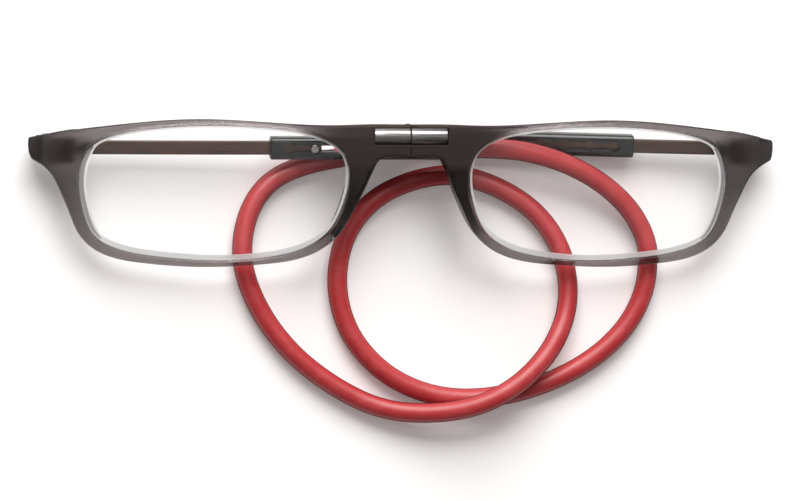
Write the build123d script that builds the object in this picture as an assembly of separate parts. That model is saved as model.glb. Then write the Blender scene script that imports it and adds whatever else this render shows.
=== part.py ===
from build123d import *
import math
import os

# Reading glasses that part at the bridge, where two magnets hold them shut. They lie folded
# on a table, front up, with the arms behind the front and the neck cord looped below.
# Lengths are in millimetres. The glasses are made in their own frame: X runs from the
# left half to the right half as seen from the front, Y runs up the face, and Z runs
# forward, with zero at the hinge axes. At the end they are laid down on the table.

os.makedirs("parts", exist_ok=True)

# Front, sized as spectacles are: lens width, gap over the nose and length of an end piece
lens_width = 49.2
lens_height = 25.05
nose_gap = 22.5
end_length = 9.15
rim_top = 1.1
rim_bottom = 1.25
rim_thickness = 2.6
bow_radius = 435.0

# Bridge and its magnets
bridge_step = 0.55
bridge_height = 5.9
arch_round = 1.6
magnet_radius = 1.65
magnet_length = 6.8
magnet_drop = 2.15
magnet_fit = 0.02
magnet_cover = 0.2
magnet_back_wall = 0.6
magnet_lip = 0.05
parting_gap = 0.05
bridge_flat = 8.3
bridge_run_out = 17.0

# Moulded nose pads on the back of the rims
pad_width = 9.0
pad_height = 14.0
pad_depth = 2.6
pad_drop = 2.2

# Lens and the groove that holds it
lens_front_radius = 260.0
lens_back_radius = 1500.0
lens_thickness = 2.0
bevel_depth = 0.45
bevel_half_width = 0.45
lens_slack = 0.05
groove_gap = 0.06
groove_reach = 0.3

# End piece and hinge
hinge_drop = 5.325
hinge_inset = 3.8
hinge_depth = 3.0
tip_height = 3.75
tip_rise = 0.3
tip_bulge = 0.3
tip_round = 0.5
end_wall_thickness = 2.2
end_wall_depth = 1.3
knuckle_radius = 1.25
knuckle_height = 1.0
knuckle_gap = 0.1
leaf_length = 5.8
leaf_thickness = 0.8
leaf_skin = 1.6
leaf_fit = 0.03
screw_radius = 0.6
screw_fit = 0.03
screw_head_radius = 1.05
screw_head_height = 0.55
screw_slot_width = 0.25
screw_slot_depth = 0.25

# Arm: a flat metal bar that slides in a moulded sleeve and clicks at a row of seats
bar_height = 2.5
bar_thickness = 1.0
bar_edge_round = 0.2
bar_end_round = 0.7
pin_reach = 49.0
bar_tail = 1.3
sleeve_length = 36.0
sleeve_height = 4.1
sleeve_thickness = 3.3
sleeve_round = 0.9
sleeve_end_round = 0.35
bar_clearance = 0.12
seat_count = 6
first_seat = 3.55
tail_wall = 3.3
seat_radius = 0.95
neck_height = 1.15
recess_height = 2.6
recess_depth = 0.45
recess_margin = 0.7
pin_shank_radius = 0.45
pin_head_radius = 0.8
pin_head_height = 0.3
pin_play = 0.05
left_seat = 1
right_seat = 5

# Neck cord and the barbed plugs that join it to the sleeves
cord_radius = 1.825
plug_root_radius = 1.1
plug_root_length = 4.5
plug_stem_radius = 0.7
plug_barb_radius = 0.95
plug_barb_length = 1.3
plug_barb_count = 3
left_lead_length = 8.4
right_lead_length = 4.4
cord_arc_share = 0.45
cord_height = 1.83
cord_end_gap = 0.06

# How the folded glasses lie, in degrees
lying_tilt = 10.4
left_arm_lift = 2.6
left_arm_turn = 0.45
right_arm_drop = 1.8
right_arm_turn = 1.0

# One overrun serves every cut
overrun = 3.0

# Lens opening, as shares of half its width and half its height, nose side first
opening_shares = [
    (-1.0, 0.20),
    (-0.955, 0.62),
    (-0.80, 0.83),
    (-0.45, 0.965),
    (0.0, 1.0),
    (0.43, 0.945),
    (0.74, 0.83),
    (0.93, 0.63),
    (1.0, 0.20),
    (0.965, -0.28),
    (0.875, -0.66),
    (0.68, -0.865),
    (0.35, -0.965),
    (0.0, -1.0),
    (-0.36, -0.955),
    (-0.66, -0.815),
    (-0.87, -0.52),
    (-0.965, -0.14),
]

# Where the seams of the lens and of its groove are, away from the seam of the opening
lens_seam_share = (0.35, -0.965)
groove_seam_share = (0.0, 1.0)

# Upper edge of the rim: shares of half the lens width and of the rim's height above the lens centre
brow_shares = [
    (-0.58, 0.952),
    (-0.24, 0.985),
    (0.09, 1.0),
    (0.43, 0.964),
    (0.835, 0.873),
]

# Lower edge of the rim, from the end piece round to the nose: shares of half the lens width
# and of the rim's depth below the lens centre
sill_shares = [
    (1.0, 0.575),
    (0.905, 0.757),
    (0.75, 0.89),
    (0.51, 0.962),
    (0.1, 1.0),
    (-0.35, 0.956),
    (-0.64, 0.875),
    (-0.80, 0.755),
    (-0.947, 0.52),
]

# Side of the nose arch: shares of half the nose gap and of half the lens height
nose_shares = [
    (0.904, -0.22),
    (0.72, 0.13),
    (0.59, 0.41),
]
arch_share = 0.50

# Cord route on the table between its two leads: each point is chosen by eye along the loops
cord_points = [
    (25.6, 7.1, 6.9),
    (31.6, 5.2, 5.7),
    (38.3, 1.6, 4.2),
    (43.8, -3.4, 2.8),
    (47.0, -9.7, 1.83),
    (46.8, -17.3, 1.83),
    (43.3, -24.5, 1.83),
    (37.1, -30.4, 1.83),
    (29.4, -34.6, 1.83),
    (20.7, -37.3, 1.83),
    (11.7, -38.2, 1.83),
    (3.5, -36.7, 1.83),
    (-4.0, -32.6, 1.83),
    (-9.8, -25.7, 1.83),
    (-12.1, -17.0, 1.83),
    (-10.6, -8.1, 1.83),
    (-5.5, -1.3, 1.83),
    (2.4, 2.6, 1.83),
    (11.0, 3.7, 1.83),
    (19.4, 1.1, 1.83),
    (26.7, -3.9, 1.83),
    (31.2, -11.5, 1.83),
    (32.1, -20.6, 2.3),
    (28.3, -28.9, 4.9),
    (21.6, -35.5, 6.6),
    (14.0, -39.4, 6.4),
    (5.6, -40.8, 4.4),
    (-3.6, -40.0, 2.2),
    (-12.6, -35.6, 1.83),
    (-20.9, -29.1, 1.83),
    (-26.9, -20.8, 1.83),
    (-29.9, -12.0, 1.83),
    (-28.9, -4.2, 1.83),
    (-25.5, 1.6, 1.83),
    (-19.4, 5.0, 1.83),
    (-10.6, 6.7, 1.83),
    (-3.3, 8.0, 1.83),
]

# Places that follow from the sizes above
nose_half = nose_gap / 2
lens_centre = nose_half + lens_width / 2
lens_out = nose_half + lens_width
half_width = lens_out + end_length
lens_top = lens_height / 2
rim_top_y = lens_top + rim_top
rim_bottom_y = lens_top + rim_bottom
bridge_top = lens_top + bridge_step
arch_top = bridge_top - bridge_height
hinge_x = half_width - hinge_inset
hinge_height = lens_top - hinge_drop
half_rim = rim_thickness / 2
bow_top = hinge_depth + bow_radius - math.sqrt(bow_radius**2 - hinge_x**2)
magnet_y = bridge_top - magnet_drop
bridge_front = bow_top + magnet_radius + magnet_cover
bridge_back = bow_top - magnet_radius - magnet_back_wall
wall_inner_x = half_width - end_wall_thickness
hinge_pack = bar_height + 2 * knuckle_gap + 2 * knuckle_height
leaf_top = hinge_depth + half_rim - leaf_skin
cavity_depth = sleeve_length - plug_root_length - tail_wall
last_seat = cavity_depth - bar_tail - pin_play * 2
seat_pitch = (last_seat - first_seat) / (seat_count - 1)
left_mouth = pin_reach - (first_seat + left_seat * seat_pitch)
right_mouth = pin_reach - (first_seat + right_seat * seat_pitch)


def bow(x, offset):
    """Height of the curved front at x, with offset measured square to its middle surface."""
    return bow_top - bow_radius + math.sqrt((bow_radius + offset) ** 2 - x**2)


def lens_face(grow, first=0):
    """The lens opening about its own centre, let out all round by grow, its seam at point first."""
    half_x = lens_width / 2 + grow
    half_y = lens_height / 2 + grow
    shares = opening_shares[first:] + opening_shares[:first]
    points = [(u * half_x, v * half_y) for u, v in shares]
    return make_face(Spline(*points, periodic=True))


def outline_face():
    """Outline of the right half front, seen from the front."""
    brow = [(lens_centre + u * lens_width / 2, v * rim_top_y) for u, v in brow_shares]
    sill = [(lens_centre + u * lens_width / 2, -v * rim_bottom_y) for u, v in sill_shares]
    nose = [(u * nose_half, v * lens_top) for u, v in nose_shares]
    tip_middle = hinge_height + tip_rise
    tip_top = (half_width - tip_bulge / 2, tip_middle + tip_height / 2)
    tip_low = (half_width - tip_bulge, tip_middle - tip_height / 2)
    shoulder = (lens_out + end_length / 2, tip_middle + tip_height * 0.78)
    armpit = (lens_out + end_length * 0.81, tip_middle - tip_height * 0.71)
    flank = (lens_out + end_length * 0.60, tip_middle - tip_height * 1.12)
    hip = (lens_out + end_length * 0.39, tip_middle - tip_height * 2.0)
    waist = (lens_out + end_length * 0.19, -0.33 * lens_top)
    arch_corner = (nose_half * arch_share, arch_top)
    top = Spline(
        (0, bridge_top), (nose_half * 0.67, bridge_top), (nose_half * 1.3, rim_top_y * 0.94),
        *brow, shoulder, tip_top, tangents=[(1, 0), (1, -0.2)],
    )
    tip = ThreePointArc(tip_top, (half_width, tip_middle), tip_low)
    low = Spline(tip_low, armpit, flank, hip, waist, *sill, *nose, arch_corner)
    arch = Line(arch_corner, (0, arch_top))
    parting = Line((0, arch_top), (0, bridge_top))
    face = make_face([top, tip, low, arch, parting])
    tips = [v for v in face.vertices() if v.X > lens_out + end_length * 0.9]
    face = fillet(tips, tip_round)
    corners = [v for v in face.vertices() if 0 < v.X < nose_half and v.Y < lens_top]
    return fillet(corners, arch_round)


def slab():
    """Side profile of the right half: bowed rim, thick bridge and the end piece's wrapped wall."""
    far = half_width + overrun
    low = -end_wall_depth
    front_run = (bridge_run_out, bow(bridge_run_out, half_rim))
    back_run = (bridge_run_out, bow(bridge_run_out, -half_rim))
    slope = -bridge_run_out / bow_radius
    bend = (bridge_run_out + half_width) / 2
    edges = [
        Line((0, bridge_front), (bridge_flat, bridge_front)),
        Spline((bridge_flat, bridge_front), front_run, tangents=[(1, 0), (1, slope)]),
        ThreePointArc(front_run, (bend, bow(bend, half_rim)), (far, bow(far, half_rim))),
        Line((far, bow(far, half_rim)), (far, low)),
        Line((far, low), (wall_inner_x, low)),
        Line((wall_inner_x, low), (wall_inner_x, bow(wall_inner_x, -half_rim))),
        ThreePointArc(
            (wall_inner_x, bow(wall_inner_x, -half_rim)), (bend, bow(bend, -half_rim)), back_run
        ),
        Spline(back_run, (bridge_flat, bridge_back), tangents=[(-1, -slope), (-1, 0)]),
        Line((bridge_flat, bridge_back), (0, bridge_back)),
        Line((0, bridge_back), (0, bridge_front)),
    ]
    depth = rim_bottom_y + overrun
    return extrude(Plane.XZ * make_face(edges), amount=depth, both=True)


def lens_place():
    """Where the right lens sits: square to the bow, its edge midway in the rim."""
    angle = math.degrees(math.asin(lens_centre / bow_radius))
    sag = (lens_width / 2) ** 2 / (4 * bow_radius)
    return Pos(lens_centre, 0, bow(lens_centre, 0) - sag) * Rot(0, angle, 0)


def bevel(depth, flank, root, first):
    """The V-shaped ridge round a lens: two cones that meet at the middle plane, flank high each."""
    middle = lens_face(depth, first)
    upper = loft([middle, Pos(0, 0, flank) * lens_face(root, first)])
    lower = loft([Pos(0, 0, -flank) * lens_face(root, first), middle])
    return upper + lower


def lens_solid():
    """A weak plus lens with a bevelled edge, about the middle plane of its bevel."""
    edge = lens_width / 2
    front_sag = edge**2 / (2 * lens_front_radius)
    back_sag = edge**2 / (2 * lens_back_radius)
    middle = (front_sag + back_sag) / 2
    front_top = middle + lens_thickness / 2
    back_top = middle - lens_thickness / 2
    first = opening_shares.index(lens_seam_share)
    blank = extrude(lens_face(-lens_slack, first), amount=lens_thickness * 2, both=True)
    blank = blank & (Pos(0, 0, front_top - lens_front_radius) * Sphere(lens_front_radius))
    blank = blank - (Pos(0, 0, back_top - lens_back_radius) * Sphere(lens_back_radius))
    return blank + bevel(bevel_depth, bevel_half_width, -lens_slack, first)


def front_solid():
    """The right half front, moulded in one piece."""
    outline = outline_face()
    height = bridge_front + overrun
    column = Pos(0, 0, -end_wall_depth - overrun) * extrude(outline, amount=height * 2)
    body = column & slab()
    opening = Pos(lens_centre, 0, 0) * lens_face(0)
    window = Pos(0, 0, -end_wall_depth - overrun) * extrude(opening, amount=height * 2)
    pad = scale(Sphere(1), by=(pad_width / 2, pad_height / 2, pad_depth + half_rim))
    pad = Pos(nose_half, -pad_drop, bow(nose_half, 0)) * pad
    behind = Box(
        pad_width, pad_height, pad_depth + half_rim, align=(Align.CENTER, Align.CENTER, Align.MAX)
    )
    pad = pad & column & (Pos(nose_half, -pad_drop, bow(nose_half, 0)) * behind)
    body = body + pad - window
    flank = bevel_half_width + groove_gap + groove_reach * bevel_half_width / bevel_depth
    first = opening_shares.index(groove_seam_share)
    groove = lens_place() * bevel(bevel_depth + groove_gap, flank, -groove_reach, first)
    body = body - groove
    bore_radius = magnet_radius + magnet_fit
    bore_length = magnet_length + parting_gap + magnet_fit * 2
    bore = Pos(0, magnet_y, bow_top) * Rot(0, 90, 0) * Cylinder(
        bore_radius, bore_length, align=(Align.CENTER, Align.CENTER, Align.MIN)
    )
    slot_width = (bore_radius - magnet_lip) * 2
    slot = Pos(0, magnet_y, bow_top) * Box(
        bore_length, slot_width, overrun, align=(Align.MIN, Align.CENTER, Align.MIN)
    )
    parting = Box(
        parting_gap, overrun * 20, overrun * 20, align=(Align.MIN, Align.CENTER, Align.CENTER)
    )
    pocket = Pos(hinge_x + knuckle_radius + leaf_fit, hinge_height, leaf_top + leaf_fit) * Box(
        leaf_length + leaf_fit * 2, hinge_pack + leaf_fit * 2, overrun,
        align=(Align.MAX, Align.CENTER, Align.MAX),
    )
    return body - bore - slot - parting - pocket


def magnet_solid():
    """A plain cylinder magnet, its working end just behind the parting face."""
    start = parting_gap + magnet_fit
    return Pos(start, magnet_y, bow_top) * Rot(0, 90, 0) * Cylinder(
        magnet_radius, magnet_length, align=(Align.CENTER, Align.CENTER, Align.MIN)
    )


def knuckle(height, radius):
    """A cylinder along the hinge axis, centred on it."""
    return Rot(90, 0, 0) * Cylinder(radius, height)


def leaf_solid():
    """The metal leaf set in the end piece: a plate with two knuckles."""
    plate = Pos(hinge_x + knuckle_radius, hinge_height, leaf_top) * Box(
        leaf_length, hinge_pack, leaf_thickness, align=(Align.MAX, Align.CENTER, Align.MAX)
    )
    offset = bar_height / 2 + knuckle_gap + knuckle_height / 2
    for side in (-1, 1):
        place = Pos(hinge_x, hinge_height + side * offset, 0)
        web = Box(
            knuckle_radius * 2, knuckle_height, leaf_top - leaf_thickness / 2,
            align=(Align.CENTER, Align.CENTER, Align.MIN),
        )
        plate = plate + place * knuckle(knuckle_height, knuckle_radius) + place * web
    hole = knuckle(hinge_pack + overrun, screw_radius + screw_fit)
    return plate - Pos(hinge_x, hinge_height, 0) * hole


def screw_solid():
    """The hinge screw: a shank through the three knuckles and a slotted head below them."""
    low = hinge_height - hinge_pack / 2
    shank = Pos(hinge_x, hinge_height, 0) * knuckle(hinge_pack, screw_radius)
    head = Pos(hinge_x, low - screw_head_height / 2, 0) * knuckle(
        screw_head_height, screw_head_radius
    )
    slot = Pos(hinge_x, low - screw_head_height, 0) * Box(
        screw_head_radius * 3, screw_slot_depth * 2, screw_slot_width
    )
    return shank + head - slot


def bar_solid():
    """The metal bar of an arm, along +X from its hinge knuckle."""
    length = pin_reach + bar_tail
    plan = Pos(length / 2, 0) * Rectangle(length, bar_height)
    plan = fillet(plan.vertices().group_by(Axis.X)[-1], bar_end_round)
    strip = extrude(plan, amount=bar_thickness / 2, both=True)
    flats = strip.faces().filter_by(Axis.Z)
    rims = [e for face in flats for e in face.edges() if e.center().X > knuckle_radius]
    strip = fillet(rims, bar_edge_round)
    hole = knuckle(bar_height + overrun, screw_radius + screw_fit * 2)
    pin_hole = Pos(pin_reach, 0, 0) * Cylinder(pin_shank_radius, bar_thickness + overrun)
    return strip + knuckle(bar_height, knuckle_radius) - hole - pin_hole


def pin_solid():
    """The click pin: a rivet through the bar, with a low domed head in each recess."""
    floor = sleeve_thickness / 2 - recess_depth + pin_play
    shank = Cylinder(pin_shank_radius, floor * 2 + pin_head_height)
    head = Pos(0, 0, floor) * Cylinder(
        pin_head_radius, pin_head_height, align=(Align.CENTER, Align.CENTER, Align.MIN)
    )
    rim = head.faces().sort_by(Axis.Z)[-1].edges()
    head = fillet(rim, pin_head_height * 0.6)
    pin = shank + head + mirror(head, about=Plane.XY)
    return Pos(pin_reach, 0, 0) * pin


def click_slot():
    """Outline of the through slot: round seats in a row, joined by narrower necks."""
    seats = [Pos(first_seat + k * seat_pitch, 0) * Circle(seat_radius) for k in range(seat_count)]
    span = last_seat - first_seat
    neck = Pos(first_seat + span / 2, 0) * Rectangle(span, neck_height)
    outline = neck
    for seat in seats:
        outline = outline + seat
    return outline


def sleeve_solid():
    """The moulded sleeve along +X from its mouth, with the bar's cavity and the click slot."""
    body = Box(
        sleeve_length, sleeve_height, sleeve_thickness,
        align=(Align.MIN, Align.CENTER, Align.CENTER),
    )
    body = fillet(body.edges().filter_by(Axis.X), sleeve_round)
    ends = body.faces().filter_by(Axis.X)
    body = fillet([e for face in ends for e in face.edges()], sleeve_end_round)
    cavity = Box(
        cavity_depth * 2, bar_height + bar_clearance * 2, bar_thickness + bar_clearance * 2
    )
    slot = extrude(click_slot(), amount=sleeve_thickness, both=True)
    recess_start = first_seat - recess_margin
    recess_end = last_seat + seat_radius + recess_margin
    recess_length = recess_end - recess_start
    outline = Pos((recess_start + recess_end) / 2, 0) * SlotOverall(recess_length, recess_height)
    floor = sleeve_thickness / 2 - recess_depth
    recess = Pos(0, 0, floor) * extrude(outline, amount=overrun)
    recesses = recess + mirror(recess, about=Plane.XY)
    socket = Pos(sleeve_length, 0, 0) * Rot(0, 90, 0) * Cylinder(
        plug_root_radius, plug_root_length, align=(Align.CENTER, Align.CENTER, Align.MAX)
    )
    return body - cavity - slot - recesses - socket


def plug_solid():
    """The plug along +X: its root fills the sleeve's socket and its barbs hold the cord."""
    root = Cylinder(
        plug_root_radius, plug_root_length, align=(Align.CENTER, Align.CENTER, Align.MAX)
    )
    barb = Cone(
        plug_barb_radius, plug_stem_radius, plug_barb_length,
        align=(Align.CENTER, Align.CENTER, Align.MIN),
    )
    plug = root
    for index in range(plug_barb_count):
        plug = plug + Pos(0, 0, index * plug_barb_length) * barb
    return Rot(0, 90, 0) * plug


def route_arcs(points):
    """The largest tangent arc that the runs beside each corner of a route allow."""
    radii = []
    for before, corner, after in zip(points, points[1:], points[2:]):
        inward = Vector(*corner) - Vector(*before)
        outward = Vector(*after) - Vector(*corner)
        shorter = min(inward.length, outward.length)
        half_turn = math.radians(inward.get_angle(outward)) / 2
        radii.append(cord_arc_share * shorter / math.tan(half_turn))
    return radii


def least_gap(points):
    """Closest approach of the cord's surface to itself, between stretches apart on the route."""
    fine = []
    for start, end in zip(points, points[1:]):
        for step in range(12):
            t = step / 12
            fine.append([a + (b - a) * t for a, b in zip(start, end)])
    apart = 30
    nearest = min(
        math.dist(p, q) for i, p in enumerate(fine) for q in fine[i + apart:]
    )
    return nearest - 2 * cord_radius


def cord_solid(points):
    """The silicone cord: straight runs and tangent arcs, bored at both ends for the plugs."""
    radii = route_arcs(points)
    path = FilletPolyline(*points, radius=radii)
    start = Plane(origin=path @ 0, z_dir=path % 0)
    end = Plane(origin=path @ 1, z_dir=-(path % 1))
    tube = sweep(start * Circle(cord_radius), path=path)
    section = math.pi * cord_radius**2
    print("cord length", round(path.length, 2), "tightest arc", round(min(radii), 2))
    print("cord volume over section times length", round(tube.volume / section / path.length, 5))
    print("cord least gap to itself", round(least_gap(points), 2))
    bore_depth = plug_barb_length * plug_barb_count
    bore = Cylinder(
        plug_stem_radius, bore_depth, align=(Align.CENTER, Align.CENTER, Align.MIN)
    )
    return tube - Location(start) * bore - Location(end) * bore


# The arms hang behind the front at slightly different heights, so that they cross
left_arm = Pos(-hinge_x, hinge_height, 0) * Rot(0, -left_arm_lift, 0) * Rot(0, 0, left_arm_turn)
right_arm = Pos(hinge_x, hinge_height, 0) * Rot(0, -right_arm_drop, 0) * Rot(0, 0, -right_arm_turn)

flip = Plane.YZ
front = front_solid()
lens = lens_place() * lens_solid()
magnet = magnet_solid()
leaf = leaf_solid()
screw = screw_solid()
bar = bar_solid()
pin = pin_solid()
sleeve = sleeve_solid()
plug = plug_solid()

glasses = {
    "front_right": front,
    "front_left": mirror(front, about=flip),
    "lens_right": lens,
    "lens_left": mirror(lens, about=flip),
    "magnet_right": magnet,
    "magnet_left": mirror(magnet, about=flip),
    "hinge_leaf_right": leaf,
    "hinge_leaf_left": mirror(leaf, about=flip),
    "hinge_screw_right": screw,
    "hinge_screw_left": mirror(screw, about=flip),
    "temple_bar_left": left_arm * bar,
    "temple_bar_right": right_arm * mirror(bar, about=flip),
    "click_pin_left": left_arm * pin,
    "click_pin_right": right_arm * mirror(pin, about=flip),
    "sleeve_left": left_arm * Pos(left_mouth, 0, 0) * sleeve,
    "sleeve_right": right_arm * mirror(Pos(right_mouth, 0, 0) * sleeve, about=flip),
    "cord_plug_left": left_arm * Pos(left_mouth + sleeve_length, 0, 0) * plug,
    "cord_plug_right": right_arm
    * mirror(Pos(right_mouth + sleeve_length, 0, 0) * plug, about=flip),
}

# Lay the glasses down: top edge raised, lowest point on the table, middle over the origin
tilt = Rot(lying_tilt, 0, 0)
boxes = [(tilt * shape).bounding_box() for shape in glasses.values()]
lowest = min(box.min.Z for box in boxes)
middle = (min(box.min.Y for box in boxes) + max(box.max.Y for box in boxes)) / 2
lie = Pos(0, -middle, -lowest) * tilt
print("laid down by", round(lie.position.Y, 3), round(lie.position.Z, 3))

# The cord leaves the left tail in line with its arm and the right tail level, on the table
left_tail = lie * left_arm * Pos(left_mouth + sleeve_length + cord_end_gap, 0, 0)
left_lead = left_tail * Pos(left_lead_length, 0, 0)
right_tail = lie * right_arm * Pos(-right_mouth - sleeve_length - cord_end_gap, 0, 0)
right_lead = right_tail * Pos(-right_lead_length, 0, 0)
route = [
    tuple(left_tail.position),
    tuple(left_lead.position),
    *cord_points,
    (right_lead.position.X, right_lead.position.Y, cord_height),
    (right_tail.position.X, right_tail.position.Y, cord_height),
]
for point in (route[0], route[1], route[-2], route[-1]):
    print("cord end point", [round(value, 3) for value in point])

nodes = {name: lie * shape for name, shape in glasses.items()}
nodes["neck_cord"] = cord_solid(route)

# Axes of the joints, for whoever poses the arms
for side, arm, sign in (("left", left_arm, -1), ("right", right_arm, 1)):
    place = lie * Pos(sign * hinge_x, hinge_height, 0)
    along = (lie * arm * Pos(sign, 0, 0)).position - (lie * arm).position
    print(side, "hinge at", [round(value, 4) for value in place.position])
    print(side, "slide along", [round(value, 5) for value in along])
    print(side, "travel", round((left_seat if sign < 0 else right_seat) * seat_pitch, 3))

boxes = [shape.bounding_box() for shape in nodes.values()]
print("front edge", round(min(box.min.Y for box in boxes), 3), "floor", round(min(box.min.Z for box in boxes), 3))
print("back edge", round(max(box.max.Y for box in boxes), 3), "top", round(max(box.max.Z for box in boxes), 3))

for name, shape in nodes.items():
    export_step(shape, "parts/" + name + ".step")
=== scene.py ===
"""Looks for folded reading glasses with a magnetic bridge, click sleeves and a neck cord."""

import math

import bmesh
import bpy
import numpy as np
from bpy.props import FloatProperty, FloatVectorProperty, IntProperty, PointerProperty
from mathutils import Euler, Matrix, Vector


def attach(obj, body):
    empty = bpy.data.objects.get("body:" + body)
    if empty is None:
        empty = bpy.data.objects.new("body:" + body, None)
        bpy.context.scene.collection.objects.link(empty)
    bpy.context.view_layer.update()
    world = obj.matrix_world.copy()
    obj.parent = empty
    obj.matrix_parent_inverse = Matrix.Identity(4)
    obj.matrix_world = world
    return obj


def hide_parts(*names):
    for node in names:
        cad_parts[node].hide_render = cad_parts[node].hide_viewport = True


bl_info = {
    "name": "Magnetic Bridge Reading Glasses",
    "version": (1, 0, 0),
    "blender": (4, 5, 0),
    "location": "View3D > Sidebar > Glasses",
    "description": "Builds folded reading glasses around their packed frame",
    "category": "Object",
}

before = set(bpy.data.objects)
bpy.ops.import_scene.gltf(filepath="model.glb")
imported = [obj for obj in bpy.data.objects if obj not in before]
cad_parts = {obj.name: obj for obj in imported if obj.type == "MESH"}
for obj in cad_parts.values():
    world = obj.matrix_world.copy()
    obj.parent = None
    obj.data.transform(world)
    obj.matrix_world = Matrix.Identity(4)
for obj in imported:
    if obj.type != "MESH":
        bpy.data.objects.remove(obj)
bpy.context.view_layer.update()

# Shapes are worked out in millimetres in the glasses' own frame, and laid down at the end:
# X to the right half, Y up the face, Z forward, with zero height at the hinge axes.
MM = 0.001
LYING_TILT = 10.4
LYING_SHIFT = (0.0, 1.220, 2.150)
HINGE = (65.8, 7.2, 0.0)
SIDES = ("left", "right")
ARM_TURNS = {"left": (-2.6, 0.45), "right": (-1.8, -1.0)}

# Outline of a half front, as in the part's source
LENS_CENTRE = 35.85
LENS_HALF = (24.6, 12.525)
NOSE_HALF = 11.25
LENS_OUT = 60.45
HALF_WIDTH = 69.6
END_LENGTH = 9.15
RIM_TOP = 13.625
RIM_BOTTOM = 13.775
BRIDGE_TOP = 13.075
ARCH_TOP = 7.175
PARTING = 0.05
TIP_MIDDLE = 7.5
TIP_HEIGHT = 3.75
TIP_BULGE = 0.3
OPENING = [
    (-1.0, 0.20), (-0.955, 0.62), (-0.80, 0.83), (-0.45, 0.965), (0.0, 1.0), (0.43, 0.945),
    (0.74, 0.83), (0.93, 0.63), (1.0, 0.20), (0.965, -0.28), (0.875, -0.66), (0.68, -0.865),
    (0.35, -0.965), (0.0, -1.0), (-0.36, -0.955), (-0.66, -0.815), (-0.87, -0.52),
    (-0.965, -0.14),
]
BROW = [(-0.58, 0.952), (-0.24, 0.985), (0.09, 1.0), (0.43, 0.964), (0.835, 0.873)]
SILL = [
    (1.0, 0.575), (0.905, 0.757), (0.75, 0.89), (0.51, 0.962), (0.1, 1.0), (-0.35, 0.956),
    (-0.64, 0.875), (-0.80, 0.755), (-0.947, 0.52),
]
NOSE = [(0.904, -0.22), (0.72, 0.13), (0.59, 0.41)]
TIP_ROUND = 0.36
ARCH_ROUND = 1.6
RING_SPACING = 0.36

# Bow of the front, thickness of the rim, and the thick bridge with its magnets
BOW_RADIUS = 435.0
BOW_TOP = 3.0 + BOW_RADIUS - math.sqrt(BOW_RADIUS**2 - HINGE[0] ** 2)
LENS_TURN = math.degrees(math.asin(LENS_CENTRE / BOW_RADIUS))
RIM_HALF = 1.3
BRIDGE_FRONT = BOW_TOP + 1.85
BRIDGE_BACK = BOW_TOP - 2.25
BRIDGE_FLAT = 8.3
BRIDGE_RUN_OUT = 17.0
WALL_INNER = 67.4
WALL_LOW = -1.3
MAGNET_Y = BRIDGE_TOP - 2.15
MAGNET_START = 0.07
PAD_HALF = (4.5, 7.0, 3.9)
PAD_DROP = 2.2
PAD_BLEND = 0.35

# Bed of the magnet, a bore whose mouth to the front starts above its axis, and pocket of the
# hinge leaf, open to the back
BED_RADIUS = 1.67
BED_MOUTH_HALF = 1.62
BED_MOUTH_LOW = 0.4
BED_END = 6.89
POCKET_X = (61.22, 67.08)
POCKET_Y = (4.82, 9.58)
POCKET_FLOOR = 2.73

# Arms: bar, click pin and sleeve along X from the hinge axis or from the sleeve's mouth
BAR_LENGTH = 50.3
BAR_HALF = (1.25, 0.5)
BAR_END_ROUND = 0.7
KNUCKLE_RADIUS = 1.25
KNUCKLE_HALF = 1.25
KNUCKLE_CHAMFER = 0.12
SCREW_BORE = 0.66
PIN_REACH = 49.0
PIN_RADIUS = 0.45
PIN_HEAD = 0.8
PIN_GAP = 0.05
PIN_RIM = 0.12
PIN_DOME = 0.18
SLEEVE_LENGTH = 36.0
SLEEVE_HALF = (2.05, 1.65)
MOUTHS = {"left": 40.8, "right": 22.2}
FIRST_SEAT = 3.55
SEAT_PITCH = 4.65
SEATS = 6
SEAT_RADIUS = 0.95
NECK_HALF = 0.575
RECESS_HALF = 1.3
RECESS_PAST = 0.7
CAVITY_HALF = (1.37, 0.62)
CAVITY_END = 28.8
SOCKET_RADIUS = 1.1
SOCKET_DEPTH = 4.5

# Looks: height of the moulded grain and white of a ground facet, then the stage. Each lamp has
# a width, a height and a place in metres, and is aimed at the middle of the table.
GRAIN_HEIGHT = 0.00002
FACET_WHITE = (0.93, 0.925, 0.92)
TABLE_LIFT = 0.13
FOCAL_LENGTH = 360
FRAME_WIDTH = 36
CAMERA_AIM = (0.00013, -0.0105, 0.00183)
LAMPS = {
    "window": (0.9, 0.8, (-0.04, 0.80, 0.66)),
    "strip": (0.8, 0.09, (0.0, 0.28, 1.13)),
}
GLOSSY_CUT = 0.6

# Steps of the cord's curve between two points of its route
CORD_STEPS = 14

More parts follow.
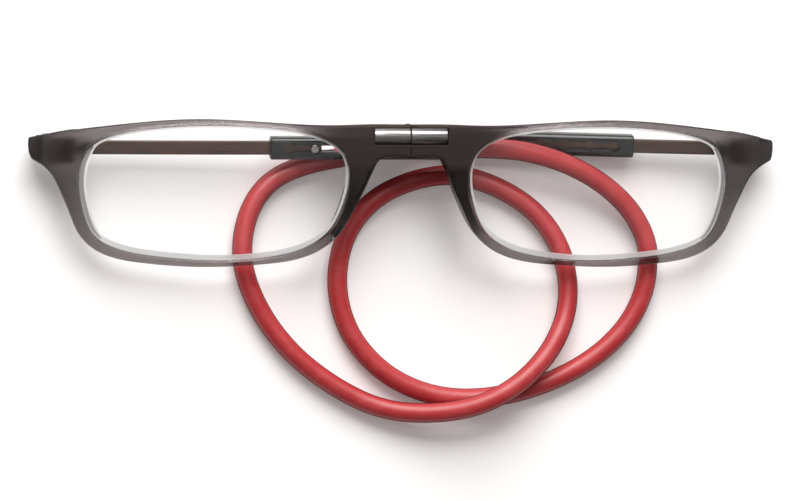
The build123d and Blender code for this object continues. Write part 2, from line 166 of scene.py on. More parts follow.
# Cord route from the left sleeve's tail to the right sleeve's tail
CORD_ROUTE = [
    (10.979, 8.266, 6.988), (19.37, 8.262, 7.375), (25.6, 7.1, 6.9), (31.6, 5.2, 5.7),
    (38.3, 1.6, 4.2), (43.8, -3.4, 2.8), (47.0, -9.7, 1.83), (46.8, -17.3, 1.83),
    (43.3, -24.5, 1.83), (37.1, -30.4, 1.83), (29.4, -34.6, 1.83), (20.7, -37.3, 1.83),
    (11.7, -38.2, 1.83), (3.5, -36.7, 1.83), (-4.0, -32.6, 1.83), (-9.8, -25.7, 1.83),
    (-12.1, -17.0, 1.83), (-10.6, -8.1, 1.83), (-5.5, -1.3, 1.83), (2.4, 2.6, 1.83),
    (11.0, 3.7, 1.83), (19.4, 1.1, 1.83), (26.7, -3.9, 1.83), (31.2, -11.5, 1.83),
    (32.1, -20.6, 2.3), (28.3, -28.9, 4.9), (21.6, -35.5, 6.6), (14.0, -39.4, 6.4),
    (5.6, -40.8, 4.4), (-3.6, -40.0, 2.2), (-12.6, -35.6, 1.83), (-20.9, -29.1, 1.83),
    (-26.9, -20.8, 1.83), (-29.9, -12.0, 1.83), (-28.9, -4.2, 1.83), (-25.5, 1.6, 1.83),
    (-19.4, 5.0, 1.83), (-10.6, 6.7, 1.83), (-3.3, 8.0, 1.83), (3.18, 9.732, 1.83),
    (7.578, 9.632, 1.83),
]


def number(name, text, default, **kind):
    """A setting from nought up, with a unit or subtype where it has one."""
    return FloatProperty(name=name, description=text, default=default, min=0.0, **kind)


def length(name, text, default):
    """A size in metres."""
    return number(name, text, default, unit="LENGTH", precision=5)


def share(name, text, default):
    """A number from nought to one."""
    return number(name, text, default, max=1.0, subtype="FACTOR")


def angle(name, text, default):
    """An angle, given in degrees and kept in radians."""
    return FloatProperty(
        name=name, description=text, default=math.radians(default), subtype="ANGLE"
    )


def colour(name, text, default):
    """A colour without alpha."""
    return FloatVectorProperty(
        name=name, description=text, default=default, size=3, min=0.0, max=1.0, subtype="COLOR"
    )


class FrontSettings(bpy.types.PropertyGroup):
    """Moulded half fronts."""

    outer_round: length("Outer edge round", "Round along the outer edges", 0.00048)
    opening_soft: length(
        "Soft opening round", "Round beside and below the lens opening", 0.00055
    )
    opening_crisp: length(
        "Crisp opening round", "Round above and on the nose side of the opening", 0.00008
    )
    parting_round: length("Parting edge round", "Round where the two halves meet", 0.00008)
    draft: angle("Draft", "Draft of the upper outer walls", 7.5)
    groove_depth: length("Groove depth", "How far the V groove cuts into the rim", 0.00051)
    smoke: colour("Smoke colour", "Light that the moulding lets through", (0.42, 0.38, 0.375))
    density: number("Smoke density", "Absorption for each metre of plastic", 1010.0)
    roughness: share("Surface roughness", "Satin finish of the moulding", 0.22)


class LensSettings(bpy.types.PropertyGroup):
    """Reading lenses."""

    front_radius: length("Front radius", "Radius of the front surface", 0.260)
    back_radius: length("Back radius", "Radius of the back surface", 1.5)
    thickness: length("Thickness", "Thickness at the middle", 0.002)
    bevel: length("Bevel", "Height of the ridge that sits in the groove", 0.00045)
    facet_side: length(
        "Facet at the nose", "Width of the ground facet above and on the nose side", 0.00040
    )
    facet_out: length("Facet outside", "Width of the ground facet on the outer side", 0.00115)
    facet_low: length("Facet below", "Width of the ground facet at the lower edge", 0.00105)
    tint: colour("Tint", "Colour of the lens", (0.985, 0.99, 0.99))


class MagnetSettings(bpy.types.PropertyGroup):
    """Bridge magnets."""

    radius: length("Radius", "Radius of a magnet", 0.00165)
    length: length("Length", "Length of a magnet", 0.0068)
    end_round: length("End round", "Round at both ends", 0.00018)
    plating: colour("Plating", "Nickel colour", (0.80, 0.79, 0.78))


class ArmSettings(bpy.types.PropertyGroup):
    """Bars, click pins and sleeves."""

    bar_round: length("Bar edge round", "Round along the bar's edges", 0.0002)
    sleeve_round: length("Sleeve round", "Round along the sleeve's long edges", 0.0009)
    sleeve_end_round: length("Sleeve end round", "Round at both ends of the sleeve", 0.00035)
    recess_depth: length("Recess depth", "Depth of the recess round the seats", 0.00045)
    bar_colour: colour("Bar colour", "Plating of the flat bar", (0.094, 0.064, 0.055))
    sleeve_colour: colour("Sleeve colour", "Plastic of the sleeve", (0.0075, 0.0066, 0.0064))
    pin_colour: colour("Pin colour", "Bright rivet", (0.22, 0.21, 0.205))
    hinge_colour: colour("Hinge colour", "Dark plated leaf and screw", (0.27, 0.245, 0.23))


class CordSettings(bpy.types.PropertyGroup):
    """Neck cord."""

    diameter: length("Cord diameter", "Outside diameter of the cord", 0.00365)
    sides: IntProperty(
        name="Cord sides", description="Steps round half of the cord", default=10, min=4, max=24
    )
    colour: colour("Cord colour", "Silicone of the cord", (0.46, 0.027, 0.031))


class StageSettings(bpy.types.PropertyGroup):
    """Camera, table and light."""

    distance: length("Camera distance", "From the glasses to the camera", 1.476)
    lean: angle("Camera lean", "Lean of the camera to the left", 11.0)
    lamp_power: number("Lamp power", "Power of the window lamp in watts", 17.8)
    strip_power: number("Strip power", "Power of the strip lamp overhead in watts", 0.5)
    room_light: number("Room light", "Strength of the room's light", 0.22)
    table: colour("Table colour", "Matt table top", (0.93, 0.915, 0.905))


GROUPS = {
    "glasses_front": FrontSettings,
    "glasses_lens": LensSettings,
    "glasses_magnet": MagnetSettings,
    "glasses_arm": ArmSettings,
    "glasses_cord": CordSettings,
    "glasses_stage": StageSettings,
}


# ---------------------------------------------------------------- curves and surfaces


def smooth(a, b, x):
    """Smooth step: 0 below a, 1 above b, and 3t^2 - 2t^3 of the share t between them."""
    t = np.clip((x - a) / (b - a), 0.0, 1.0)
    return t * t * (3 - 2 * t)


def spline(points, count, closed=False, start=None, end=None):
    """Points along the cubic spline through the given points, with chord length as parameter.

    The second derivatives at the points follow from equal slopes on both sides of each. A
    closed curve has them equal at its seam, and an open end has a given slope or no curvature.
    Each run is the straight line plus the cubic that those second derivatives ask for.
    """
    p = np.array(points, dtype=float)
    if closed:
        p = np.vstack([p, p[:1]])
    step = np.linalg.norm(np.diff(p, axis=0), axis=1)
    slope = np.diff(p, axis=0) / step[:, None]
    knots = np.concatenate([[0.0], np.cumsum(step)])
    n = len(p)
    lhs = np.zeros((n, n))
    rhs = np.zeros_like(p)
    mid = np.arange(1, n - 1)
    lhs[mid, mid - 1] = step[:-1]
    lhs[mid, mid] = 2 * (step[:-1] + step[1:])
    lhs[mid, mid + 1] = step[1:]
    rhs[1:-1] = 6 * np.diff(slope, axis=0)
    if closed:
        lhs[0, [0, -1]] = 1, -1
        lhs[-1, [0, 1, -2, -1]] = 2 * step[0], step[0], step[-1], 2 * step[-1]
        rhs[-1] = 6 * (slope[0] - slope[-1])
    else:
        lhs[0, 0] = lhs[-1, -1] = 1
        if start is not None:
            lhs[0, :2] = 2 * step[0], step[0]
            rhs[0] = 6 * (slope[0] - np.array(start) / np.linalg.norm(start))
        if end is not None:
            lhs[-1, -2:] = step[-1], 2 * step[-1]
            rhs[-1] = 6 * (np.array(end) / np.linalg.norm(end) - slope[-1])
    curve = np.linalg.solve(lhs, rhs)
    s = np.linspace(0, knots[-1], count, endpoint=not closed)
    k = np.clip(np.searchsorted(knots, s, side="right") - 1, 0, n - 2)
    b = ((s - knots[k]) / step[k])[:, None]
    a = 1 - b
    bend = (step[k] ** 2 / 6)[:, None]
    return a * p[k] + b * p[k + 1] + bend * ((a**3 - a) * curve[k] + (b**3 - b) * curve[k + 1])


def join_round(before, after, reach):
    """Two runs that meet at a corner, cut back by reach and joined by a parabola.

    It is tangent to both runs: (1 - t)^2 of the first end, 2t(1 - t) of the corner and t^2 of
    the other end.
    """
    corner = before[-1]
    before = before[np.linalg.norm(before - corner, axis=1) > reach]
    after = after[np.linalg.norm(after - corner, axis=1) > reach]
    t = np.linspace(0, 1, 9)[1:-1, None]
    arc = (1 - t) ** 2 * before[-1] + 2 * t * (1 - t) * corner + t**2 * after[0]
    return np.vstack([before, arc, after])


def opening_curve(grow, count):
    """The lens opening about its own centre, let out by grow, anticlockwise from the nose side."""
    half = np.array(LENS_HALF) + grow
    return spline(np.array(OPENING) * half, count, closed=True)[::-1]


def outline_curve():
    """Outline of the right half front, anticlockwise from the top of the parting line."""
    half = LENS_HALF[0]
    tip_top = (HALF_WIDTH - TIP_BULGE / 2, TIP_MIDDLE + TIP_HEIGHT / 2)
    tip_low = (HALF_WIDTH - TIP_BULGE, TIP_MIDDLE - TIP_HEIGHT / 2)
    shoulder = (LENS_OUT + END_LENGTH / 2, TIP_MIDDLE + TIP_HEIGHT * 0.78)
    under = [
        (LENS_OUT + END_LENGTH * 0.81, TIP_MIDDLE - TIP_HEIGHT * 0.71),
        (LENS_OUT + END_LENGTH * 0.60, TIP_MIDDLE - TIP_HEIGHT * 1.12),
        (LENS_OUT + END_LENGTH * 0.39, TIP_MIDDLE - TIP_HEIGHT * 2.0),
        (LENS_OUT + END_LENGTH * 0.19, -0.33 * LENS_HALF[1]),
    ]
    brow = [(LENS_CENTRE + u * half, v * RIM_TOP) for u, v in BROW]
    sill = [(LENS_CENTRE + u * half, -v * RIM_BOTTOM) for u, v in SILL]
    nose = [(u * NOSE_HALF, v * LENS_HALF[1]) for u, v in NOSE]
    arch_corner = (NOSE_HALF * 0.50, ARCH_TOP)
    bridge = [
        (0, BRIDGE_TOP), (NOSE_HALF * 0.67, BRIDGE_TOP), (NOSE_HALF * 1.3, RIM_TOP * 0.94)
    ]
    top = spline([*bridge, *brow, shoulder, tip_top], 2400, start=(1, 0), end=(1, -0.2))
    tip = spline([tip_top, (HALF_WIDTH, TIP_MIDDLE), tip_low], 120)
    low = spline([tip_low, *under, *sill, *nose, arch_corner], 3200)
    arch = np.linspace(arch_corner, (0, ARCH_TOP), 200)
    run = join_round(top, tip, TIP_ROUND)
    run = join_round(run, low, TIP_ROUND)
    run = join_round(run, arch, ARCH_ROUND)
    run = run[run[:, 0] > PARTING]
    run = np.vstack([[PARTING, BRIDGE_TOP], run, [PARTING, ARCH_TOP]])
    return np.vstack([run, np.linspace(run[-1], run[0], 160)[1:-1]])[::-1]


def along(curve):
    """Distance along a closed curve at each of its points, and its whole length."""
    step = np.linalg.norm(np.diff(np.vstack([curve, curve[:1]]), axis=0), axis=1)
    return np.concatenate([[0.0], np.cumsum(step)])


def at(curve, stations):
    """Points of a closed curve at the given distances along it."""
    total = along(curve)
    loop = np.vstack([curve, curve[:1]])
    stations = np.mod(stations, total[-1])
    return np.stack([np.interp(stations, total, loop[:, k]) for k in (0, 1)], axis=1)


def side_normals(curve):
    """Unit normals on the left side of a closed curve of points, from its neighbours' chord."""
    chord = np.roll(curve, -1, axis=0) - np.roll(curve, 1, axis=0)
    chord /= np.linalg.norm(chord, axis=1)[:, None]
    return np.stack([-chord[:, 1], chord[:, 0]], axis=1)


def nearest(curve, point):
    """Index of the curve's point that is nearest to the given one."""
    return np.argmin(np.linalg.norm(curve - point, axis=1))


def paired_curves(spacing):
    """The opening and the outline as two rings of points that face each other.

    Listed spokes tie a place on the opening to one on the outline. Between two spokes
    both curves are divided into the same number of equal steps.
    """
    half = np.array(LENS_HALF)
    inner = opening_curve(0, 2400) + (LENS_CENTRE, 0)
    outer = outline_curve()
    tip = HALF_WIDTH - TIP_BULGE
    spokes = [
        ((-0.995, 0.36), (5.3, ARCH_TOP - 0.1)), ((-0.965, -0.14), (9.7, -1.9)),
        ((-0.87, -0.52), (12.2, -8.3)), ((-0.66, -0.815), (18.0, -11.5)),
        ((-0.36, -0.955), (26.6, -13.1)), ((0.0, -1.0), (35.9, -13.9)),
        ((0.35, -0.965), (44.8, -13.5)), ((0.68, -0.865), (53.4, -12.4)),
        ((0.875, -0.66), (58.4, -10.3)), ((0.965, -0.28), (61.6, -5.0)),
        ((0.997, 0.10), (64.3, 0.5)), ((0.995, 0.32), (66.5, 4.0)),
        ((0.972, 0.50), (tip - 0.1, TIP_MIDDLE - TIP_HEIGHT / 2)),
        ((0.895, 0.69), (tip, TIP_MIDDLE + TIP_HEIGHT / 2)), ((0.80, 0.79), (61.0, 10.9)),
        ((0.60, 0.89), (53.0, 12.6)), ((0.30, 0.965), (43.6, 13.3)), ((0.0, 1.0), (35.85, 13.7)),
        ((-0.45, 0.965), (24.4, 13.3)), ((-0.72, 0.875), (16.2, 12.9)),
        ((-0.90, 0.74), (PARTING, BRIDGE_TOP)), ((-0.975, 0.53), (PARTING, ARCH_TOP)),
    ]
    inner_way, outer_way = along(inner), along(outer)
    places = []
    for shares, point in spokes:
        facing = shares * half + (LENS_CENTRE, 0)
        places.append((inner_way[nearest(inner, facing)], outer_way[nearest(outer, point)]))
    stations = []
    for (a0, b0), (a1, b1) in zip(places, places[1:] + places[:1]):
        run_a, run_b = (a1 - a0) % inner_way[-1], (b1 - b0) % outer_way[-1]
        steps = int(np.ceil(max(run_a, run_b) / spacing))
        t = np.arange(steps)[:, None] / steps
        stations.append(np.hstack([a0 + t * run_a, b0 + t * run_b]))
    stations = np.vstack(stations)
    return at(inner, stations[:, 0]), at(outer, stations[:, 1])


def bow(x, offset):
    """Height of the bowed front at x, offset square to its middle surface: a circular arc."""
    return BOW_TOP - BOW_RADIUS + np.sqrt((BOW_RADIUS + offset) ** 2 - x**2)


def bridged(x, offset, level):
    """Height of a face of the front: level on the bridge, then a cubic out into the bow."""
    t = np.clip((x - BRIDGE_FLAT) / (BRIDGE_RUN_OUT - BRIDGE_FLAT), 0, 1)
    goal = bow(BRIDGE_RUN_OUT, offset)
    lean = -BRIDGE_RUN_OUT / BOW_RADIUS * (BRIDGE_RUN_OUT - BRIDGE_FLAT)
    run = level + (goal - level) * (3 * t**2 - 2 * t**3) + lean * (t**3 - t**2)
    return np.where(x >= BRIDGE_RUN_OUT, bow(x, offset), run)


def lens_level():
    """Height of the middle of the lens's own plane, below the bow by half its sag."""
    return bow(LENS_CENTRE, 0) - LENS_HALF[0] ** 2 / (4 * BOW_RADIUS)


def front_height(p):
    """Height of the front face at points of the outline's plane."""
    return bridged(p[..., 0], RIM_HALF, BRIDGE_FRONT)


def back_height(p):
    """Height of the back face: the bowed back, the wrapped end wall and the nose pad.

    The pad is the lower half of an ellipsoid. Where it meets the back, b ln(1 + e^(gap / b))
    of the gap between them is taken off, which blends the two over about b.
    """
    x, y = p[..., 0], p[..., 1]
    base = bridged(x, -RIM_HALF, BRIDGE_BACK)
    wall = smooth(WALL_INNER - 0.08, WALL_INNER + 0.08, x)
    base = base * (1 - wall) + WALL_LOW * wall
    reach = ((x - NOSE_HALF) / PAD_HALF[0]) ** 2 + ((y + PAD_DROP) / PAD_HALF[1]) ** 2
    pad = bow(NOSE_HALF, 0) - PAD_HALF[2] * np.sqrt(np.clip(1 - reach, 0, 1))
    gap = base - pad
    sunk = PAD_BLEND * np.logaddexp(0, gap / PAD_BLEND)
    return base - sunk * (reach < 1) * smooth(-3 * PAD_BLEND, 0.0, gap)


def mesh_grid(name, rows, ring=False):
    """A closed mesh of rows of points with a quad for each cell; each row is a closed loop.

    The last row joins the first in a ring, and otherwise a face closes each end.
    """
    grid = np.array(rows)
    count, columns = grid.shape[:2]
    index = np.arange(count * columns).reshape(count, columns)
    down = np.roll(index, -1, axis=0)
    if not ring:
        index, down = index[:-1], down[:-1]
    right, corner = np.roll(index, -1, axis=1), np.roll(down, -1, axis=1)
    faces = np.stack([index, right, corner, down], axis=-1).reshape(-1, 4).tolist()
    if not ring:
        faces += [list(range(columns))[::-1], list(range((count - 1) * columns, count * columns))]
    mesh = bpy.data.meshes.new(name)
    mesh.from_pydata(grid.reshape(-1, 3).tolist(), [], faces)
    tidy_mesh(mesh)
    return mesh


def tidy_mesh(mesh):
    """Merge the doubles of poles and seams and turn all faces of the closed shell outwards."""
    work = bmesh.new()
    work.from_mesh(mesh)
    bmesh.ops.remove_doubles(work, verts=work.verts, dist=1e-5)
    bmesh.ops.recalc_face_normals(work, faces=work.faces)
    work.to_mesh(mesh)
    work.free()


def prism(name, outline, low, high, axis):
    """A closed prism: an outline in the two other axes, carried from low to high along axis."""
    return mesh_grid(name, [np.insert(outline, axis, level, axis=1) for level in (low, high)])


def circle(radius, count, centre=(0.0, 0.0)):
    """Points round a circle: the centre plus the radius times (cos a, sin a)."""
    a = np.linspace(0, 2 * math.pi, count, endpoint=False)
    return np.stack([centre[0] + radius * np.cos(a), centre[1] + radius * np.sin(a)], axis=1)


def quarter(count):
    """Evenly spaced angles of a quarter turn."""
    return np.linspace(0, math.pi / 2, count)


def revolved(name, profile, count, axis=2, centre=(0.0, 0.0)):
    """A profile of radius and height turned round an axis, closed at both ends."""
    rows = [np.insert(circle(r, count, centre), axis, level, axis=1) for r, level in profile]
    return mesh_grid(name, rows)


def swept(name, x, section):
    """A section in Y and Z for each x, carried along X."""
    return mesh_grid(name, [np.insert(ring, 0, place, axis=1) for place, ring in zip(x, section)])


def rounded_box(half_y, half_z, round_y, round_z, steps):
    """Section of a rounded bar: a rectangle in Y and Z whose corners are quarter ellipses.

    The half sizes and rounds may be arrays, one value for each section along the bar.
    """
    half_y, half_z, round_y, round_z = np.broadcast_arrays(half_y, half_z, round_y, round_z)
    sections = []
    for sy, sz, first in ((1, 1, 0.0), (-1, 1, 0.5), (-1, -1, 1.0), (1, -1, 1.5)):
        a = (first + np.linspace(0, 0.5, steps + 1)) * math.pi
        y = sy * (half_y - round_y)[:, None] + round_y[:, None] * np.cos(a)
        z = sz * (half_z - round_z)[:, None] + round_z[:, None] * np.sin(a)
        sections.append(np.stack([y, z], axis=-1))
    return np.concatenate(sections, axis=1)


def new_object(name, data):
    """An object in the scene's own collection."""
    obj = bpy.data.objects.new(name, data)
    bpy.context.scene.collection.objects.link(obj)
    return obj


def carved(mesh, cutters=(), added=()):
    """The mesh with closed shapes added and closed cutters taken out, by Booleans."""
    base = new_object("work", mesh)
    tools = []
    for tool, operation in [(m, "UNION") for m in added] + [(m, "DIFFERENCE") for m in cutters]:
        tools.append(new_object("tool", tool))
        modifier = base.modifiers.new("carve", "BOOLEAN")
        modifier.operation = operation
        modifier.solver = "MANIFOLD"
        modifier.object = tools[-1]
    graph = bpy.context.evaluated_depsgraph_get()
    result = bpy.data.meshes.new_from_object(base.evaluated_get(graph))
    for obj in [base] + tools:
        data = obj.data
        bpy.data.objects.remove(obj)
        bpy.data.meshes.remove(data)
    result.materials.clear()
    if not len(result.polygons):
        raise RuntimeError("A carved piece came out empty")
    return result


def turned(degrees, axis):
    """Rotation matrix about X, Y or Z, for axis 0, 1 or 2."""
    c, s = math.cos(math.radians(degrees)), math.sin(math.radians(degrees))
    matrix = np.eye(3)
    i, j = [(1, 2), (2, 0), (0, 1)][axis]
    matrix[i, i] = matrix[j, j] = c
    matrix[i, j], matrix[j, i] = -s, s
    return matrix


def lay_down(mesh, name, side, reach=None, smooth_angle=32):
    """A finished piece from a mesh in millimetres, mirrored for its side and laid on the table.

    With a reach, the mesh points along an arm and starts at that distance from the hinge.
    """
    own = mesh.copy()
    own.name = name
    co = np.empty(len(own.vertices) * 3)
    own.vertices.foreach_get("co", co)
    co = co.reshape(-1, 3)
    on_arm = reach is not None
    mirrored = (side == "left") != on_arm
    if on_arm:
        co = co + (reach, 0, 0)
    if mirrored:
        co = co * (-1, 1, 1)
    if on_arm:
        lift, turn = ARM_TURNS[side]
        hinge = np.array(HINGE) * ((-1, 1, 1) if side == "left" else (1, 1, 1))
        co = co @ (turned(lift, 1) @ turned(turn, 2)).T + hinge
    co = (co @ turned(LYING_TILT, 0).T + LYING_SHIFT) * MM
    own.vertices.foreach_set("co", co.ravel())
    if mirrored:
        own.flip_normals()
    own.shade_smooth()
    own.set_sharp_from_angle(angle=math.radians(smooth_angle))
    own.update()
    return new_object(name, own)


def dress(obj, material, slot, body, *nodes):
    """Give a piece its material and body, and hide the CAD nodes that it stands for.

    The slot is not used.
    """
    obj.data.materials.append(material)
    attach(obj, body)
    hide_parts(*nodes)


def lay_halves(mesh, name, material, slot, node, smooth_angle=32):
    """Make both sides' pieces from one mesh of the right half, and remove that mesh."""
    pieces = []
    for side in SIDES:
        piece = lay_down(mesh, name + side, side, smooth_angle=smooth_angle)
        dress(piece, material, slot, "half_" + side, node + side)
        pieces.append(piece)
    bpy.data.meshes.remove(mesh)
    return pieces


# ---------------------------------------------------------------- materials


def shared_group(name, strength, outputs, build):
    """A shader node group, built once, with a vector, a scale and a strength going in.

    build takes the group and its three input sockets, and gives the values of the outputs.
    """
    if name in bpy.data.node_groups:
        return bpy.data.node_groups[name]
    group = bpy.data.node_groups.new(name, "ShaderNodeTree")
    for socket, kind in (("Vector", "Vector"), ("Scale", "Float"), (strength, "Float")):
        group.interface.new_socket(name=socket, in_out="INPUT", socket_type="NodeSocket" + kind)
    for socket in outputs:
        group.interface.new_socket(name=socket, in_out="OUTPUT", socket_type="NodeSocketFloat")
    source, sink = group.nodes.new("NodeGroupInput"), group.nodes.new("NodeGroupOutput")
    for socket, value in zip(outputs, build(group, *[source.outputs[k] for k in range(3)])):
        group.links.new(value, sink.inputs[socket])
    return group


def fill(tree, socket, value):
    """Feed an input socket from another socket or with a plain value."""
    if isinstance(value, bpy.types.NodeSocket):
        tree.links.new(value, socket)
    else:
        socket.default_value = value


def calculate(tree, operation, *values):
    """A Math node fed by sockets or plain numbers."""
    node = tree.nodes.new("ShaderNodeMath")
    node.operation = operation
    for socket, value in zip(node.inputs, values):
        fill(tree, socket, value)
    return node.outputs[0]


def noise(tree, vector, scale, detail, roughness):
    """A Noise Texture's value, with its scale from a socket or a number."""
    node = tree.nodes.new("ShaderNodeTexNoise")
    node.inputs["Detail"].default_value = detail
    node.inputs["Roughness"].default_value = roughness
    tree.links.new(vector, node.inputs["Vector"])
    fill(tree, node.inputs["Scale"], scale)
    return node.outputs["Fac"]


def smooth_rise(tree, value, low, high, top=1.0):
    """A value turned into a smooth rise from nought at low to top at high."""
    node = tree.nodes.new("ShaderNodeMapRange")
    node.interpolation_type = "SMOOTHSTEP"
    settings = {"Value": value, "From Min": low, "From Max": high, "To Max": top}
    for socket, level in settings.items():
        fill(tree, node.inputs[socket], level)
    return node.outputs["Result"]


def moulded_grain(tree, vector, scale, amount):
    """Fine noise for the bump, and slow noise for the tone, both about a half."""
    fine = noise(tree, vector, scale, 4.0, 0.6)
    slow = noise(tree, vector, calculate(tree, "MULTIPLY", scale, 0.06), 3.0, 0.55)
    return calculate(tree, "MULTIPLY", fine, amount), slow


def handling_dust(tree, vector, scale, cover):
    """Broad noise cut to patches, stronger on faces that look up."""
    patches = smooth_rise(tree, noise(tree, vector, scale, 5.0, 0.65), 0.42, 0.72)
    geometry = tree.nodes.new("ShaderNodeNewGeometry")
    apart = tree.nodes.new("ShaderNodeSeparateXYZ")
    tree.links.new(geometry.outputs["Normal"], apart.inputs["Vector"])
    up = calculate(tree, "MAXIMUM", apart.outputs["Z"], 0.15)
    return (calculate(tree, "MULTIPLY", calculate(tree, "MULTIPLY", patches, up), cover),)


def drawn_lines(tree, vector, scale, amount):
    """Noise stretched along X, for fine lines in height and tone."""
    mapping = tree.nodes.new("ShaderNodeMapping")
    mapping.inputs["Scale"].default_value = (0.04, 1.0, 1.0)
    tree.links.new(vector, mapping.inputs["Vector"])
    lines = noise(tree, mapping.outputs["Vector"], scale, 2.0, 0.5)
    return calculate(tree, "MULTIPLY", lines, amount), lines


class Finish:
    """A material with a Principled BSDF, and short ways to feed it with patterns."""

    def __init__(self, name, base, roughness, metallic=0.0):
        self.material = bpy.data.materials.new(name)
        self.material.use_nodes = True
        self.tree = self.material.node_tree
        self.shader = self.tree.nodes["Principled BSDF"]
        self.plain = self.shader.outputs["BSDF"]
        self.base = tuple(base)
        self.put("Base Color", (*base, 1.0))
        self.put("Roughness", roughness)
        self.put("Metallic", metallic)
        self.coords = self.node("TexCoord").outputs["Object"]

    def node(self, kind):
        """A new node of this material."""
        return self.tree.nodes.new("ShaderNode" + kind)

    def put(self, socket, value):
        """Set or feed an input of the shader."""
        fill(self.tree, self.shader.inputs[socket], value)

    def pattern(self, strength, outputs, build, scale, amount):
        """Place a shared group, and give its outputs."""
        node = self.node("Group")
        node.node_tree = shared_group(build.__name__, strength, outputs, build)
        for socket, value in zip(node.inputs, (self.coords, scale, amount)):
            fill(self.tree, socket, value)
        return [node.outputs[socket] for socket in outputs]

    def grain(self, scale):
        """Height and tone of the moulded grain."""
        return self.pattern("Amount", ("Height", "Tone"), moulded_grain, scale, 1.0)

    def lines(self, scale, amount):
        """Height and tone of drawn lines."""
        return self.pattern("Amount", ("Height", "Tone"), drawn_lines, scale, amount)

    def dust(self, scale, cover):
        """Mask of the handling dust."""
        return self.pattern("Cover", ("Mask",), handling_dust, scale, cover)[0]

    def bump(self, height, strength, distance=GRAIN_HEIGHT):
        """Turn a height into a bump on the normal."""
        node = self.node("Bump")
        node.inputs["Strength"].default_value = strength
        node.inputs["Distance"].default_value = distance
        self.tree.links.new(height, node.inputs["Height"])
        self.put("Normal", node.outputs["Normal"])

    def moulded(self, scale, strength, low, high):
        """Moulded grain as a bump, and as a roughness between low and high."""
        height, tone = self.grain(scale)
        self.bump(height, strength)
        self.vary(tone, low, high)

    def vary(self, tone, low, high):
        """Spread the roughness between low and high by a tone."""
        node = self.node("MapRange")
        node.inputs["To Min"].default_value = low
        node.inputs["To Max"].default_value = high
        self.tree.links.new(tone, node.inputs["Value"])
        self.put("Roughness", node.outputs["Result"])

    def mix_colour(self, mask, other):
        """Blend the base colour towards another by a mask."""
        node = self.node("Mix")
        node.data_type = "RGBA"
        node.inputs["A"].default_value = (*self.base, 1.0)
        node.inputs["B"].default_value = (*other, 1.0)
        self.tree.links.new(mask, node.inputs["Factor"])
        self.put("Base Color", node.outputs["Result"])

    def place(self, axis):
        """The surface's place along an axis in metres."""
        apart = self.node("SeparateXYZ")
        self.tree.links.new(self.coords, apart.inputs["Vector"])
        return apart.outputs[axis]

    def calculate(self, operation, *values):
        """A Math node of this material."""
        return calculate(self.tree, operation, *values)

    def rise(self, value, low, high, top=1.0):
        """A smooth rise from nought at low to top at high."""
        return smooth_rise(self.tree, value, low, high, top)

    def slant(self):
        """Nought where the surface faces the eye, and one where it is seen edge on."""
        return self.node("LayerWeight").outputs["Facing"]

    def layer(self, kind, tint):
        """A shader of one colour: BsdfDiffuse or BsdfTransparent."""
        node = self.node(kind)
        node.inputs["Color"].default_value = (*tint, 1.0)
        return node.outputs["BSDF"]

    def blend(self, factor, first, second):
        """Mix two shaders by a factor."""
        mix = self.node("MixShader")
        for socket, value in zip(mix.inputs, (factor, first, second)):
            self.tree.links.new(value, socket)
        return mix.outputs["Shader"]

    def show(self, surface):
        """Make a shader the material's surface."""
        self.tree.links.new(surface, self.tree.nodes["Material Output"].inputs["Surface"])

    def show_clear(self, surface, clear):
        """Let shadow and diffuse rays pass with a tint, so a clear piece throws a pale shadow."""
        path = self.node("LightPath").outputs
        passing = self.calculate("MAXIMUM", path["Is Shadow Ray"], path["Is Diffuse Ray"])
        self.show(self.blend(passing, surface, clear))


def tinted(base, factor):
    """A colour made lighter or darker by a factor."""
    return tuple(min(1.0, c * factor) for c in base)


def smoke_plastic(s):
    """Translucent smoke-grey moulding with a satin surface and absorption in its depth.

    Over the hinges the satin is coarser, so they show softly. Upper edges and the ends seen at a
    slant get painted shade, a near-black diffuse layer, and the thick bridge is a little milky and
    throws a darker shadow than the rims. All these regions are ranges of the place across and up
    the front, in metres.
    """
    finish = Finish("smoke_plastic", (0.93, 0.92, 0.92), s.roughness)
    finish.put("Transmission Weight", 0.992)
    finish.put("IOR", 1.49)
    finish.put("Specular Tint", (0.25, 0.25, 0.25, 1.0))
    height, tone = finish.grain(2600.0)
    finish.bump(height, 0.35)
    across, up = finish.calculate("ABSOLUTE", finish.place("X")), finish.place("Y")
    satin = finish.calculate("MULTIPLY_ADD", tone, 0.14, s.roughness - 0.06)
    coarse = finish.rise(across, 0.057, 0.062, 0.62)
    finish.put("Roughness", finish.calculate("ADD", satin, coarse))
    volume = finish.node("VolumeAbsorption")
    volume.inputs["Color"].default_value = (*s.smoke, 1.0)
    volume.inputs["Density"].default_value = s.density
    output = finish.tree.nodes["Material Output"]
    finish.tree.links.new(volume.outputs["Volume"], output.inputs["Volume"])

    # Painted shade: upper edges and ends seen at a slant blend into a near-black diffuse layer.
    upper, ends = finish.rise(up, 0.004, 0.007), finish.rise(across, 0.062, 0.065)
    painted_edge_shade = finish.calculate(
        "MULTIPLY", finish.rise(finish.slant(), 0.35, 0.75, 0.9),
        finish.calculate("MAXIMUM", upper, ends),
    )
    edge = finish.layer("BsdfDiffuse", tinted(s.smoke, 0.07))
    surface = finish.blend(painted_edge_shade, finish.plain, edge)
    bridge = finish.calculate(
        "MULTIPLY", finish.rise(across, 0.022, 0.013, 0.6), finish.rise(up, 0.003, 0.006)
    )
    milky = finish.layer("BsdfDiffuse", (0.060, 0.048, 0.044))
    surface = finish.blend(bridge, surface, milky)
    under_bridge = finish.layer("BsdfTransparent", (0.16, 0.13, 0.125))
    under_rims = finish.layer("BsdfTransparent", (0.89, 0.88, 0.875))
    thin = finish.rise(across, 0.014, 0.022)
    finish.show_clear(surface, finish.blend(thin, under_bridge, under_rims))
    return finish.material


